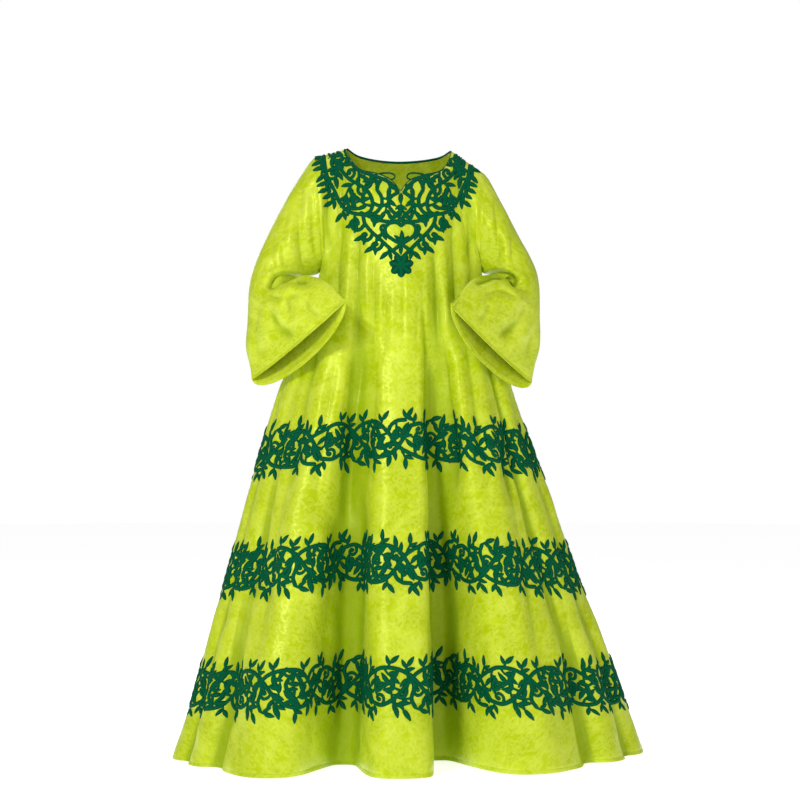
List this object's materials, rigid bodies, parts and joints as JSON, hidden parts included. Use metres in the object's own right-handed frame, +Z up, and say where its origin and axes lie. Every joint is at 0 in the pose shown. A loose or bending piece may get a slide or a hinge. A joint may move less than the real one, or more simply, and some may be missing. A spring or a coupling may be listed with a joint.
{
  "type": "long kaftan in its worn form",
  "caption": "Floor-length flared kaftan, hollow as worn, with wide bent sleeves, a slit round neck, a cutwork yoke and cutwork skirt bands.",
  "frame": {"origin": "between the shoulders, level with the neck points, where the wearer holds the garment up", "axes": "+Z up along the garment's length, -Y the garment's front, +X to the right as seen from the front"},
  "size_m": [1.103, 0.7097, 1.4221],
  "materials": {
    "cloth": "lime green satin jacquard with a tone-on-tone leaf and swirl damask and a soft sheen",
    "applique": "dark green raised corded cutwork applique, matt with rounded edges"
  },
  "bodies": {
    "root": {"front": "cloth", "back": "cloth", "sleeve_left": "cloth", "sleeve_right": "cloth", "neck_edging": "applique", "yoke": "applique", "band_lower_front": "applique", "band_lower_back": "applique", "band_middle_front": "applique", "band_middle_back": "applique", "band_upper_front": "applique", "band_upper_back": "applique"}
  },
  "joints": []
}
